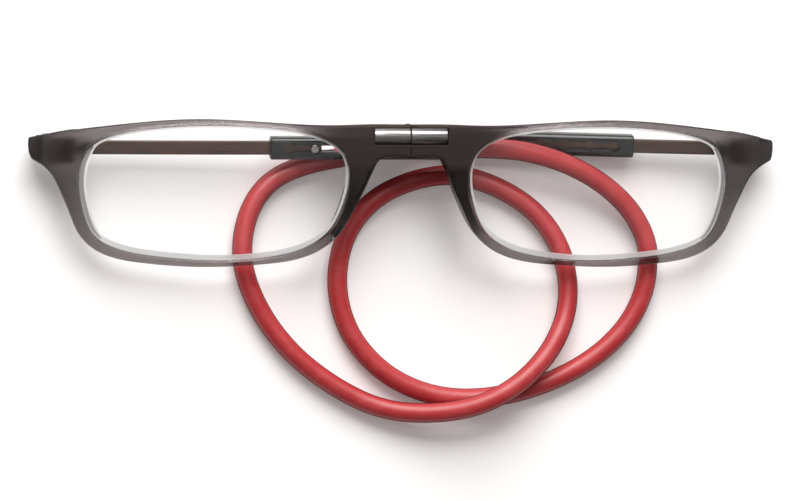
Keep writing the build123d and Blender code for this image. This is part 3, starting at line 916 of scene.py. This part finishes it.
def lens_glass(s):
    """Clear polished lens."""
    finish = Finish("reading_lens", s.tint, 0.02)
    finish.put("Transmission Weight", 1.0)
    finish.put("IOR", 1.5)
    finish.put("Specular Tint", (0.3, 0.3, 0.3, 1.0))
    finish.vary(finish.grain(500.0)[1], 0.0, 0.03)
    finish.show_clear(finish.plain, finish.layer("BsdfTransparent", (0.99, 0.99, 0.99)))
    return finish.material


def plated_metal(name, base, roughness, lines, coat=0.0, streak=0.8):
    """Plated or drawn metal: fine lines along X, and streaks and handled patches of another tone.

    Lines sets how strong the lines and streaks are, and streak how light their colour is.
    """
    finish = Finish(name, base, roughness, 1.0)
    finish.put("Coat Weight", coat)
    finish.put("Coat Roughness", 0.08)
    height, tone = finish.lines(2200.0, lines)
    finish.bump(height, 0.4, GRAIN_HEIGHT / 2)
    finish.vary(tone, roughness - 0.07, roughness + 0.09)
    streaks = finish.rise(tone, 0.50, 0.62, lines)
    worn = finish.calculate("MAXIMUM", finish.dust(160.0, 0.5), streaks)
    finish.mix_colour(worn, tinted(base, streak))
    return finish.material


def black_plastic(name, base, roughness):
    """Black moulded plastic with a fine grain and a little dust on top."""
    finish = Finish(name, base, roughness)
    finish.moulded(3600.0, 0.5, roughness - 0.08, roughness + 0.1)
    finish.mix_colour(finish.dust(260.0, 0.5), tinted(base, 1.9))
    return finish.material


def silicone(s):
    """Red silicone rubber: satin, with a faint grain and painted shade on edges seen at a slant.
    """
    finish = Finish("cord_silicone_red", s.colour, 0.42)
    finish.put("Specular IOR Level", 0.66)
    finish.moulded(4200.0, 0.5, 0.34, 0.52)
    finish.mix_colour(finish.dust(220.0, 0.6), (0.56, 0.07, 0.072))
    # Painted shade: edges seen at a slant blend into a near-black diffuse red.
    edge = finish.layer("BsdfDiffuse", tinted(s.colour, 0.12))
    finish.show(finish.blend(finish.rise(finish.slant(), 0.42, 0.88, 0.92), finish.plain, edge))
    return finish.material


def ground_edge(name, shade):
    """Frosted white facet round a lens; towards the temples it gets painted shade of the rim,
    blended to a given tone.
    """
    finish = Finish(name, FACET_WHITE, 0.6)
    across = finish.calculate("ABSOLUTE", finish.place("X"))
    # Painted shade of the rim: past 53.5 mm across, the facet blends to the shaded tone.
    finish.mix_colour(finish.rise(across, 0.0535, 0.0580), shade)
    finish.put("Transmission Weight", 0.3)
    finish.moulded(5000.0, 0.6, 0.5, 0.7)
    return finish.material


# ---------------------------------------------------------------- pieces


def front_mesh(s):
    """The right half front as one closed ring.

    One parameter runs round the lens opening, the other round the section: up the inner wall
    with its V groove, over a quarter round to the front face, across it to the outline, down
    the outer round, drafted wall and back round, and along the back face to the opening.
    Heights come from front_height and back_height, so pad, bridge and end wall are part of the
    same surface. The draft moves the upper outer walls in by its tangent times the depth below
    the front round, and less at the tip and beside the hinge pocket.
    """
    inner, outer = paired_curves(RING_SPACING)
    into_in, into_out = -side_normals(inner), side_normals(outer)
    across, up = (inner[:, 0] - LENS_CENTRE) / LENS_HALF[0], inner[:, 1] / LENS_HALF[1]
    soft = np.maximum(smooth(0.5, 0.95, across), smooth(0.35, 0.9, -up))
    round_in = (s.opening_crisp + (s.opening_soft - s.opening_crisp) * soft) / MM
    round_low = np.minimum(round_in, 0.15)
    corners = [np.linalg.norm(outer - (PARTING, y), axis=1) for y in (BRIDGE_TOP, ARCH_TOP)]
    on_parting = outer[:, 0] < PARTING + 0.01
    small, large = s.parting_round / MM, s.outer_round / MM
    grown = small + (large - small) * smooth(0.0, 0.9, np.minimum(*corners))
    round_out = np.where(on_parting, small, grown)
    round_back = np.minimum(round_out, 0.4)
    rows = []

    def column(base, normal, depth, height):
        p = base + normal * np.reshape(depth, (-1, 1))
        rows.append(np.column_stack([p, height]))

    def edge_round(base, normal, size, height, angles):
        """Quarter round from a face's height: up for a back, and down for a front (size < 0)."""
        for a in angles:
            column(base, normal, abs(size) * (1 - math.cos(a)), height + size * (1 - math.sin(a)))

    def face(start, end, steps, height):
        for t in np.linspace(0, 1, steps)[1:-1]:
            p = start * (1 - t) + end * t
            rows.append(np.column_stack([p, height(p)]))

    top_in, low_in = inner + into_in * round_in[:, None], inner + into_in * round_low[:, None]
    front_in, back_in = front_height(top_in), back_height(low_in)
    lens_x = inner[:, 0] - LENS_CENTRE
    middle = lens_level() - lens_x * math.tan(math.radians(LENS_TURN))
    groove = s.groove_depth / MM
    wide = groove * 1.05
    column(inner, into_in, 0.0, back_in + round_low)
    column(inner, into_in, 0.0, middle - wide)
    column(inner, into_in, groove, middle)
    column(inner, into_in, 0.0, middle + wide)
    edge_round(inner, into_in, -round_in, front_in, quarter(7))
    top_out = outer + into_out * round_out[:, None]
    face(top_in, top_out, 26, front_height)
    front_out, back_out = front_height(top_out), back_height(top_out)
    edge_round(outer, into_out, -round_out, front_out, quarter(7)[::-1])

    over_pocket = smooth(60.5, 62.0, outer[:, 0]) * smooth(67.9, 67.1, outer[:, 0])
    lean = np.column_stack([
        -0.55 * smooth(0.15, 0.6, -into_out[:, 0]) * (outer[:, 0] > 60),
        -smooth(0.15, 0.6, -into_out[:, 1]) * (1 - 0.6 * over_pocket),
    ])
    high, low = front_out - round_out, back_out + round_back
    sink = lean * math.tan(s.draft) * (high - low)[:, None]
    for t in (0.33, 0.67):
        column(outer, sink, t, high * (1 - t) + low * t)
    foot = outer + sink
    edge_round(foot, into_out, round_back, back_out, quarter(6))
    face(foot + into_out * round_back[:, None], low_in, 60, back_height)
    edge_round(inner, into_in, round_low, back_in, quarter(7)[::-1])
    mesh = mesh_grid("front_ring", rows, ring=True)

    bore = circle(BED_RADIUS, 64)
    bore = bore[(bore[:, 1] < BED_MOUTH_LOW) | (np.abs(bore[:, 0]) > BED_MOUTH_HALF)]
    turn = np.arctan2(bore[:, 1], bore[:, 0]) - math.pi / 2
    bore = bore[np.argsort(np.mod(turn, 2 * math.pi))]
    keyhole = np.vstack([bore, (BED_MOUTH_HALF, 3.0), (-BED_MOUTH_HALF, 3.0)])
    (x0, x1), (y0, y1) = POCKET_X, POCKET_Y
    pocket = np.array([(x0, y0), (x1, y0), (x1, y1), (x0, y1)])
    cutters = [
        prism("magnet_bed", keyhole + (MAGNET_Y, BOW_TOP), -0.5, BED_END, 0),
        prism("leaf_pocket", pocket, -3.0, POCKET_FLOOR, 2),
    ]
    return carved(mesh, cutters)


class GLASSES_OT_fronts(bpy.types.Operator):
    """Mould the two half fronts with groove, pads, magnet beds and hinge pockets."""

    bl_idname = "glasses.fronts"
    bl_label = "Half fronts"

    def execute(self, context):
        s = context.scene.glasses_front
        lay_halves(front_mesh(s), "moulded_front_", smoke_plastic(s), "front_plastic", "front_")
        return {"FINISHED"}


def lens_mesh(s):
    """The right lens as one closed grid of rings.

    Rings shrink from the edge to a small middle face on the front and on the back. Their
    heights are two spheres. On the front a ground facet falls away to the edge, wider below
    and on the outer side, and between the faces the edge rises to the ridge of the bevel.
    """
    edge_half = LENS_HALF[0]
    r1, r2 = s.front_radius / MM, s.back_radius / MM
    half, bevel = s.thickness / MM / 2, s.bevel / MM
    middle = (edge_half**2 / (2 * r1) + edge_half**2 / (2 * r2)) / 2
    rim, ridge = opening_curve(-0.05, 260), opening_curve(bevel, 260)

    def front(p):
        return middle + half - r1 + np.sqrt(r1**2 - (p**2).sum(axis=1))

    def back(p):
        return middle - half - r2 + np.sqrt(r2**2 - (p**2).sum(axis=1))

    shares = np.sin(np.linspace(0.03, math.pi / 2, 26))
    low = smooth(0.35, 0.97, -rim[:, 1] / LENS_HALF[1])
    out = smooth(0.75, 0.95, rim[:, 0] / edge_half) * smooth(0.75, 0.5, rim[:, 1] / LENS_HALF[1])
    side = s.facet_side
    width = (side + np.maximum((s.facet_low - side) * low, (s.facet_out - side) * out)) / MM
    band = rim + side_normals(rim) * width[:, None]
    rows = [np.column_stack([band * k, front(band * k)]) for k in shares]
    facet_rows = range(len(rows) - 1, len(rows) + 2)
    for t in (0.2, 0.4, 1.0):
        p = band * (1 - t) + rim * t
        rows.append(np.column_stack([p, front(p) - 0.2 * t * width]))
    for curve, level in ((rim, bevel), (ridge, 0.0), (rim, -bevel)):
        rows.append(np.insert(curve, 2, level, axis=1))
    rows += [np.column_stack([rim * k, back(rim * k)]) for k in shares[::-1] * 0.996]
    grid = np.array(rows) @ turned(LENS_TURN, 1).T + (LENS_CENTRE, 0, lens_level())
    mesh = mesh_grid("lens_rings", grid)
    count = len(rim)
    for row in facet_rows:
        for face in mesh.polygons[row * count:(row + 1) * count]:
            face.material_index = 1
    # Faces on the outer side take the facet with the rim's painted shade.
    for face, shaded in zip(mesh.polygons[facet_rows[-1] * count:], out > 0.3):
        if shaded:
            face.material_index = 2
    return mesh


class GLASSES_OT_lenses(bpy.types.Operator):
    """Grind the two lenses with their bevelled edge."""

    bl_idname = "glasses.lenses"
    bl_label = "Lenses"

    def execute(self, context):
        s = context.scene.glasses_lens
        mesh, glass = lens_mesh(s), lens_glass(s)
        facets = [
            ground_edge("lens_facet", FACET_WHITE),
            ground_edge("lens_facet_painted_shade", (0.33, 0.32, 0.32)),
        ]
        for piece in lay_halves(mesh, "ground_lens_", glass, "lens_clear", "lens_", 25):
            for facet in facets:
                piece.data.materials.append(facet)
        return {"FINISHED"}


def magnet_mesh(s):
    """The right magnet: a cylinder along X whose ends have quarter rounds."""
    r, c, end = s.radius / MM, s.end_round / MM, s.length / MM
    profile = [
        (0, 0), *[(r - c + c * math.sin(a), c - c * math.cos(a)) for a in quarter(6)],
        *[(r - c + c * math.cos(a), end - c + c * math.sin(a)) for a in quarter(6)], (0, end),
    ]
    profile = [(radius, MAGNET_START + x) for radius, x in profile]
    return revolved("magnet_turned", profile, 72, 0, (MAGNET_Y, BOW_TOP))


class GLASSES_OT_magnets(bpy.types.Operator):
    """Turn the two bridge magnets."""

    bl_idname = "glasses.magnets"
    bl_label = "Magnets"

    def execute(self, context):
        s = context.scene.glasses_magnet
        plate = plated_metal("nickel_plate", s.plating, 0.38, 1.0, coat=0.35, streak=0.40)
        lay_halves(magnet_mesh(s), "bridge_magnet_", plate, "magnet_metal", "magnet_", 40)
        return {"FINISHED"}


def bar_mesh(s):
    """The flat bar along X: rounded rectangles, narrowed along a quarter circle at the free end.

    Its hinge knuckle is a cylinder across the end, and the screw hole and pin hole are bored.
    """
    end = BAR_LENGTH - BAR_END_ROUND
    x = np.concatenate([
        [0.0, 1.4], np.linspace(2, end, 30), end + BAR_END_ROUND * np.sin(quarter(10)[1:])
    ])
    past = np.clip(x - end, 0, BAR_END_ROUND)
    edge = s.bar_round / MM
    thinner = edge * (1 - np.sqrt(smooth(0.0, edge, BAR_LENGTH - x)))
    half_y = BAR_HALF[0] - BAR_END_ROUND + np.sqrt(BAR_END_ROUND**2 - past**2) - thinner
    mesh = swept("bar_swept", x, rounded_box(half_y, BAR_HALF[1] - thinner, edge, edge, 5))
    half, c, r = KNUCKLE_HALF, KNUCKLE_CHAMFER, KNUCKLE_RADIUS
    profile = [(r - c, -half), (r, c - half), (r, half - c), (r - c, half)]
    knuckle = revolved("bar_knuckle", profile, 64, 1)
    bores = [
        prism("screw_bore", circle(SCREW_BORE, 40), -3, 3, 1),
        prism("pin_bore", circle(PIN_RADIUS, 32, (PIN_REACH, 0)), -2, 2, 2),
    ]
    return carved(mesh, bores, [knuckle])


def pin_mesh(s):
    """The click pin round Z: a shank with a low domed head at both ends."""
    floor = SLEEVE_HALF[1] - s.recess_depth / MM + PIN_GAP
    rim = floor + PIN_RIM
    dome = [
        (PIN_RADIUS + (PIN_HEAD - PIN_RADIUS) * math.sin(a), rim + PIN_DOME * math.cos(a))
        for a in quarter(7)
    ]
    upper = [(0, rim + PIN_DOME), *dome, (PIN_HEAD, floor), (PIN_RADIUS, floor)]
    return revolved("pin_turned", upper + [(r, -z) for r, z in upper[::-1]], 40)


def sleeve_mesh(s):
    """The sleeve along X from its mouth: a rounded box with rounded ends, carved.

    Near each end the section shrinks along a quarter circle. The bar's cavity, the chain of
    round click seats joined by necks, the long recess on both faces and the plug's socket are
    cut out.
    """
    e, r = s.sleeve_end_round / MM, s.sleeve_round / MM
    low = e - e * np.cos(quarter(7))
    x = np.concatenate([low, np.linspace(1, SLEEVE_LENGTH - 1, 24), (SLEEVE_LENGTH - low)[::-1]])
    short = np.clip(e - np.minimum(x, SLEEVE_LENGTH - x), 0, e)
    inset = e - np.sqrt(e**2 - short**2)
    half_y, half_z = SLEEVE_HALF[0] - inset, SLEEVE_HALF[1] - inset
    mesh = swept("sleeve_swept", x, rounded_box(half_y, half_z, 1.3 * r - inset, r - inset, 9))

    last = FIRST_SEAT + (SEATS - 1) * SEAT_PITCH
    chain_x = np.linspace(FIRST_SEAT - SEAT_RADIUS, last + SEAT_RADIUS, 240)
    seats = FIRST_SEAT + SEAT_PITCH * np.arange(SEATS)
    to_seat = np.abs(chain_x[:, None] - seats).min(axis=1)
    seat = np.sqrt(np.clip(SEAT_RADIUS**2 - to_seat**2, 0, None))
    neck = np.where((chain_x > FIRST_SEAT) & (chain_x < last), NECK_HALF, 0.0)
    chain = np.column_stack([chain_x, np.maximum(seat, neck)])
    chain = np.vstack([chain, (chain * (1, -1))[1:-1][::-1]])
    start = FIRST_SEAT - RECESS_PAST + RECESS_HALF
    end = last + SEAT_RADIUS + RECESS_PAST - RECESS_HALF
    a = np.linspace(-math.pi / 2, math.pi / 2, 25)
    half_turn = RECESS_HALF * np.column_stack([np.cos(a), np.sin(a)])
    stadium = np.vstack([half_turn + (end, 0), (start, 0) - half_turn])
    floor = SLEEVE_HALF[1] - s.recess_depth / MM
    cavity = np.array([(-1, -1), (1, -1), (1, 1), (-1, 1)]) * CAVITY_HALF
    socket = circle(SOCKET_RADIUS, 40)
    cutters = [
        prism("bar_cavity", cavity, -1.0, CAVITY_END, 0),
        prism("click_chain", chain, -3.0, 3.0, 2),
        prism("upper_recess", stadium, floor, 3.0, 2),
        prism("lower_recess", stadium, -3.0, -floor, 2),
        prism("plug_socket", socket, SLEEVE_LENGTH - SOCKET_DEPTH, SLEEVE_LENGTH + 1, 0),
    ]
    return carved(mesh, cutters)


class GLASSES_OT_arms(bpy.types.Operator):
    """Make the bars, click pins and sleeves of both arms."""

    bl_idname = "glasses.arms"
    bl_label = "Arms"

    def execute(self, context):
        s = context.scene.glasses_arm
        bar, pin, sleeve = bar_mesh(s), pin_mesh(s), sleeve_mesh(s)
        bar_finish = plated_metal("bar_plate", s.bar_colour, 0.42, 0.8)
        pin_finish = plated_metal("pin_bright", s.pin_colour, 0.2, 0.2)
        sleeve_finish = black_plastic("sleeve_black", s.sleeve_colour, 0.19)
        for side in SIDES:
            piece = lay_down(bar, "flat_bar_" + side, side, 0.0)
            dress(piece, bar_finish, "bar_metal", "arm_" + side, "temple_bar_" + side)
            piece = lay_down(pin, "rivet_" + side, side, PIN_REACH)
            dress(piece, pin_finish, "pin_metal", "arm_" + side, "click_pin_" + side)
            piece = lay_down(sleeve, "click_sleeve_" + side, side, MOUTHS[side])
            dress(piece, sleeve_finish, "sleeve_plastic", "cord_and_sleeves", "sleeve_" + side)
        for mesh in (bar, pin, sleeve):
            bpy.data.meshes.remove(mesh)
        return {"FINISHED"}


class GLASSES_OT_fittings(bpy.types.Operator):
    """Give the hinge leaves, hinge screws and cord plugs of the frame their finishes."""

    bl_idname = "glasses.fittings"
    bl_label = "Hinges and plugs"

    def execute(self, context):
        s = context.scene.glasses_arm
        finishes = {
            "hinge_leaf": plated_metal("leaf_plate", s.hinge_colour, 0.38, 0.4),
            "hinge_screw": plated_metal("screw_steel", tinted(s.pin_colour, 0.55), 0.3, 0.3),
            "cord_plug": black_plastic("plug_black", s.sleeve_colour, 0.45),
        }
        for kind, material in finishes.items():
            for side in SIDES:
                for slot in bpy.data.objects[kind + "_" + side].material_slots:
                    slot.material = material
        return {"FINISHED"}


class GLASSES_OT_cord(bpy.types.Operator):
    """Lay the neck cord along its route."""

    bl_idname = "glasses.cord"
    bl_label = "Neck cord"

    def execute(self, context):
        s = context.scene.glasses_cord
        curve = bpy.data.curves.new("cord_line", "CURVE")
        curve.dimensions = "3D"
        curve.bevel_depth = s.diameter / 2
        curve.bevel_resolution = s.sides
        curve.resolution_u = CORD_STEPS
        curve.use_fill_caps = True
        route = curve.splines.new("NURBS")
        route.points.add(len(CORD_ROUTE) - 1)
        for point, (x, y, z) in zip(route.points, CORD_ROUTE):
            point.co = (x * MM, y * MM, z * MM, 1)
        route.order_u = 3
        route.use_endpoint_u = True
        cord = new_object("silicone_cord", curve)
        dress(cord, silicone(s), "cord_silicone", "cord_and_sleeves", "neck_cord")
        return {"FINISHED"}


def seen_share(tree):
    """One where the camera looks, straight or through a clear piece, and nought for other rays."""
    path = tree.nodes.new("ShaderNodeLightPath").outputs
    return calculate(tree, "MAXIMUM", path["Is Camera Ray"], path["Is Transmission Ray"])


class GLASSES_OT_stage(bpy.types.Operator):
    """Set the table, the lamps and the camera."""

    bl_idname = "glasses.stage"
    bl_label = "Stage"

    def execute(self, context):
        scene = context.scene
        s = scene.glasses_stage
        mesh = bpy.data.meshes.new("table")
        mesh.from_pydata([(-4, -4, 0), (4, -4, 0), (4, 4, 0), (-4, 4, 0)], [], [(0, 1, 2, 3)])
        table = new_object("table", mesh)
        finish = Finish("table_white", s.table, 0.9)
        finish.put("Specular IOR Level", 0.0)
        finish.bump(finish.grain(400.0)[0], 0.1, 0.00005)
        finish.put("Emission Color", (1.0, 0.985, 0.975, 1.0))
        lift = finish.calculate("MULTIPLY", seen_share(finish.tree), TABLE_LIFT)
        finish.put("Emission Strength", lift)
        mesh.materials.append(finish.material)

        data = bpy.data.cameras.new("camera")
        data.lens = FOCAL_LENGTH
        data.sensor_width = FRAME_WIDTH
        camera = new_object("camera", data)
        aim = Vector(CAMERA_AIM)
        camera.location = aim + s.distance * Vector((-math.sin(s.lean), 0, math.cos(s.lean)))
        camera.rotation_euler = Euler((0, -s.lean, 0))
        scene.camera = camera

        for name, power in (("window", s.lamp_power), ("strip", s.strip_power)):
            lamp = bpy.data.lights.new(name, "AREA")
            lamp.energy = power
            lamp.shape = "RECTANGLE"
            lamp.size, lamp.size_y, place = LAMPS[name]
            light = new_object(name, lamp)
            light.location = place
            light.rotation_euler = (-light.location).to_track_quat("-Z", "Y").to_euler()

        world = bpy.data.worlds.new("room")
        scene.world = world
        world.use_nodes = True
        tree = world.node_tree
        room = tree.nodes["Background"]
        room.inputs["Color"].default_value = (1.0, 0.955, 0.945, 1)
        white = tree.nodes.new("ShaderNodeBackground")
        white.inputs["Color"].default_value = (1, 1, 1, 1)
        mix = tree.nodes.new("ShaderNodeMixShader")
        tree.links.new(seen_share(tree), mix.inputs["Fac"])
        tree.links.new(room.outputs["Background"], mix.inputs[1])
        path = tree.nodes.new("ShaderNodeLightPath")
        glossy = calculate(tree, "MULTIPLY", path.outputs["Is Glossy Ray"], -GLOSSY_CUT)
        level = calculate(tree, "MULTIPLY", calculate(tree, "ADD", glossy, 1.0), s.room_light)
        tree.links.new(level, room.inputs["Strength"])
        tree.links.new(white.outputs["Background"], mix.inputs[2])
        tree.links.new(mix.outputs["Shader"], tree.nodes["World Output"].inputs["Surface"])
        scene.view_settings.view_transform = "Standard"
        return {"FINISHED"}


class GLASSES_PT_panel(bpy.types.Panel):
    """Sizes, finishes and steps of the glasses."""

    bl_idname = "GLASSES_PT_panel"
    bl_label = "Reading Glasses"
    bl_space_type = "VIEW_3D"
    bl_region_type = "UI"
    bl_category = "Glasses"

    def draw(self, context):
        for step, group in STEPS:
            box = self.layout.box()
            box.operator(step)
            if group:
                settings = getattr(context.scene, group)
                for key in type(settings).__annotations__:
                    box.prop(settings, key)


STEPS = [
    ("glasses.cord", "glasses_cord"),
    ("glasses.stage", "glasses_stage"),
    ("glasses.fronts", "glasses_front"),
    ("glasses.lenses", "glasses_lens"),
    ("glasses.magnets", "glasses_magnet"),
    ("glasses.arms", "glasses_arm"),
    ("glasses.fittings", None),
]
CLASSES = (
    *GROUPS.values(), GLASSES_OT_cord, GLASSES_OT_stage, GLASSES_OT_fronts, GLASSES_OT_lenses,
    GLASSES_OT_magnets, GLASSES_OT_arms, GLASSES_OT_fittings, GLASSES_PT_panel,
)


def register():
    """Make the classes and the scene's settings known."""
    for cls in CLASSES:
        bpy.utils.register_class(cls)
    for name, group in GROUPS.items():
        setattr(bpy.types.Scene, name, PointerProperty(type=group))


def unregister():
    """Take the settings and classes away again."""
    for name in GROUPS:
        delattr(bpy.types.Scene, name)
    for cls in reversed(CLASSES):
        bpy.utils.unregister_class(cls)


def main():
    register()
    bpy.ops.glasses.cord()
    bpy.ops.glasses.stage()
    bpy.ops.glasses.fronts()
    bpy.ops.glasses.lenses()
    bpy.ops.glasses.magnets()
    bpy.ops.glasses.arms()
    bpy.ops.glasses.fittings()


if __name__ == "__main__":
    main()
